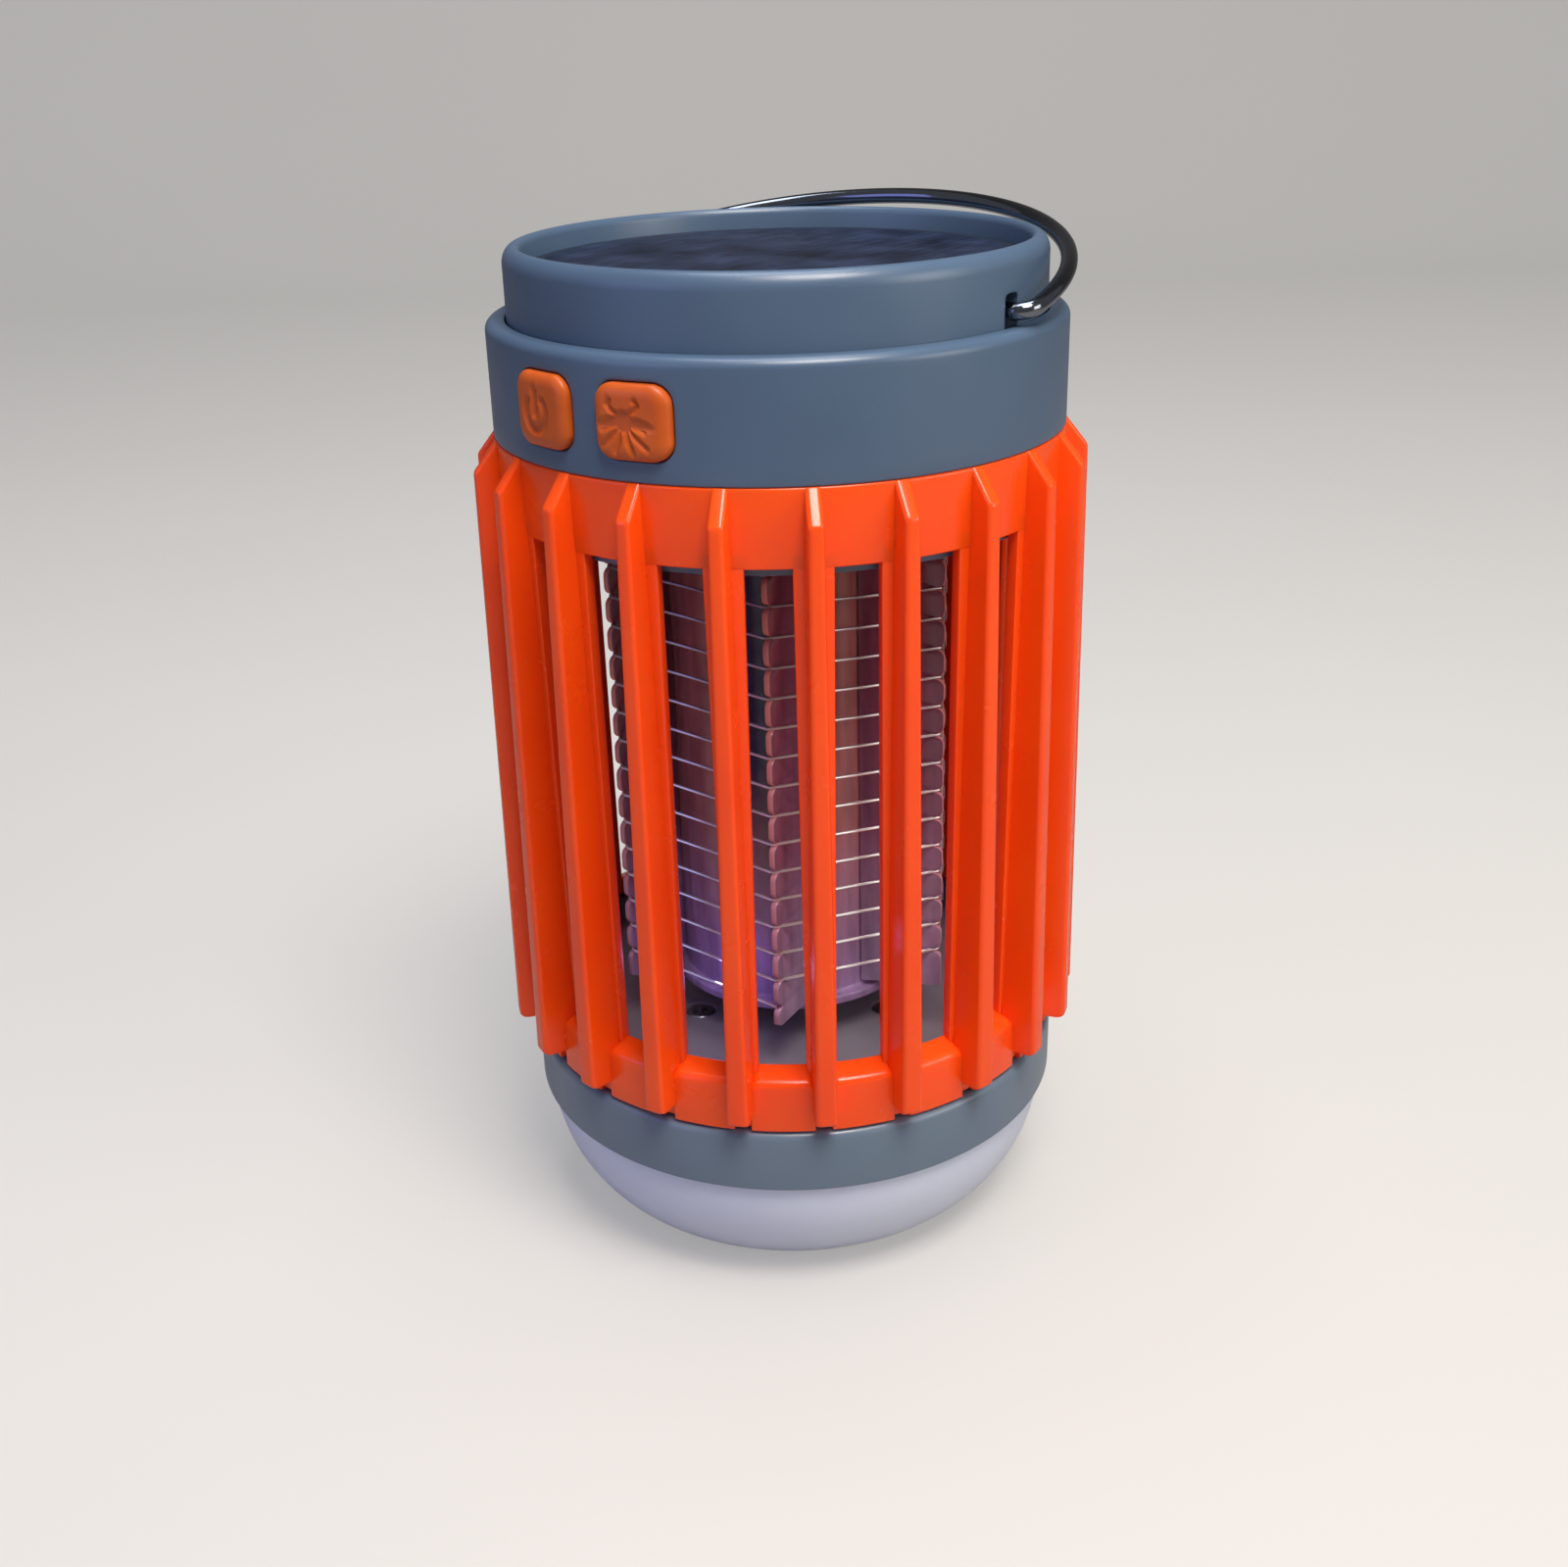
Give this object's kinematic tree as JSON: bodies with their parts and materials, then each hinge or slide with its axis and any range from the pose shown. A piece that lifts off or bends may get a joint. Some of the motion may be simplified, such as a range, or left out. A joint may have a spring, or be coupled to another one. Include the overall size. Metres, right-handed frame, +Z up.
{
  "type": "solar lantern",
  "caption": "Round solar camping lantern with an insect-zapping grid in a finned cage, a dome lamp below, a solar panel on top and a folding wire bail.",
  "frame": {"origin": "middle of the diffuser's flat foot, on the surface the lantern stands on", "axes": "+Z up through the solar panel, -Y towards the two buttons, X along the bail's pivot line"},
  "size_m": [0.098, 0.0978, 0.1681],
  "materials": {
    "housing_grey": "satin slate-grey moulded plastic",
    "cage_orange": "glossy, slightly translucent orange moulded plastic",
    "button_silicone": "matte orange silicone rubber",
    "plug_silicone": "matte grey silicone rubber",
    "seal_rubber": "matte black foam rubber",
    "diffuser_milk": "satin opal plastic that lets light through",
    "reflector_white": "white moulded plastic",
    "bail_steel": "bright plated steel wire",
    "screw_steel": "zinc-plated steel",
    "screw_dark": "black-oxide steel",
    "shell_steel": "tinned steel sheet",
    "grid_wire": "bright stainless wire",
    "terminal_brass": "plain brass",
    "panel_backing": "black laminate board",
    "solar_cell": "dark blue silicon cell",
    "panel_cover": "clear epoxy layer with fine scratches",
    "former_clear": "clear moulded plastic",
    "board_green": "solder-masked circuit board",
    "board_white": "white circuit board",
    "switch_black": "black plastic",
    "winding_tape": "yellow winding tape",
    "capacitor_red": "dipped plastic",
    "cell_wrap": "shrink-wrapped cell",
    "led_clear": "clear violet LED body",
    "led_white": "white LED package",
    "lead_insulation": "soft insulated lead"
  },
  "bodies": {
    "lantern": {"cage_top_ring": "cage_orange", "cage_bars": "cage_orange", "cage_foot_ring": "cage_orange", "cage_screws": "screw_steel", "band": "housing_grey", "band_skirt": "housing_grey", "deck_fittings": "housing_grey", "collar": "housing_grey", "collar_screws": "screw_steel", "panel_seal": "seal_rubber", "panel_board": "panel_backing", "solar_cells": "solar_cell", "panel_cover": "panel_cover", "switch_bodies": "switch_black", "control_board": "board_green", "hv_transformer": "winding_tape", "hv_capacitor": "capacitor_red", "control_chip": "switch_black", "battery_cell": "cell_wrap", "battery_holder": "switch_black", "charge_board": "board_green", "usb_socket": "shell_steel", "grid_former": "former_clear", "grid_ribs": "former_clear", "former_screws": "screw_steel", "grid_wire_live": "grid_wire", "grid_wire_return": "grid_wire", "grid_terminals": "terminal_brass", "uv_board": "board_white", "uv_leds": "led_clear", "cable_tube": "housing_grey", "lamp_leads": "lead_insulation"},
    "base": {"base_ring": "housing_grey", "diffuser": "diffuser_milk", "lamp_board": "board_white", "lamp_leds": "led_white", "reflector": "reflector_white", "tray_screws": "screw_dark"},
    "bail": {"bail": "bail_steel"},
    "light_button": {"light_button": "button_silicone", "light_stem": "switch_black"},
    "zapper_button": {"zapper_button": "button_silicone", "zapper_stem": "switch_black"},
    "usb_plug": {"usb_plug": "plug_silicone"}
  },
  "joints": [
    {"name": "base_twist", "type": "hinge", "parent": "lantern", "child": "base", "pos_m": [0, 0, 0.0333], "axis": [0, 0, 1], "range_deg": [0, 20]},
    {"name": "bail_fold", "type": "hinge", "parent": "lantern", "child": "bail", "pos_m": [0, 0, 0.1557], "axis": [1, 0, 0], "range_deg": [0, 150]},
    {"name": "light_press", "type": "slide", "parent": "lantern", "child": "light_button", "axis": [0, 1, 0], "range_m": [0, 0.001], "stiffness_N_per_m": 600},
    {"name": "zapper_press", "type": "slide", "parent": "lantern", "child": "zapper_button", "axis": [0, 1, 0], "range_m": [0, 0.001], "stiffness_N_per_m": 600},
    {"name": "plug_pull", "type": "slide", "parent": "lantern", "child": "usb_plug", "axis": [0, 1, 0], "range_m": [0, 0.008]}
  ]
}
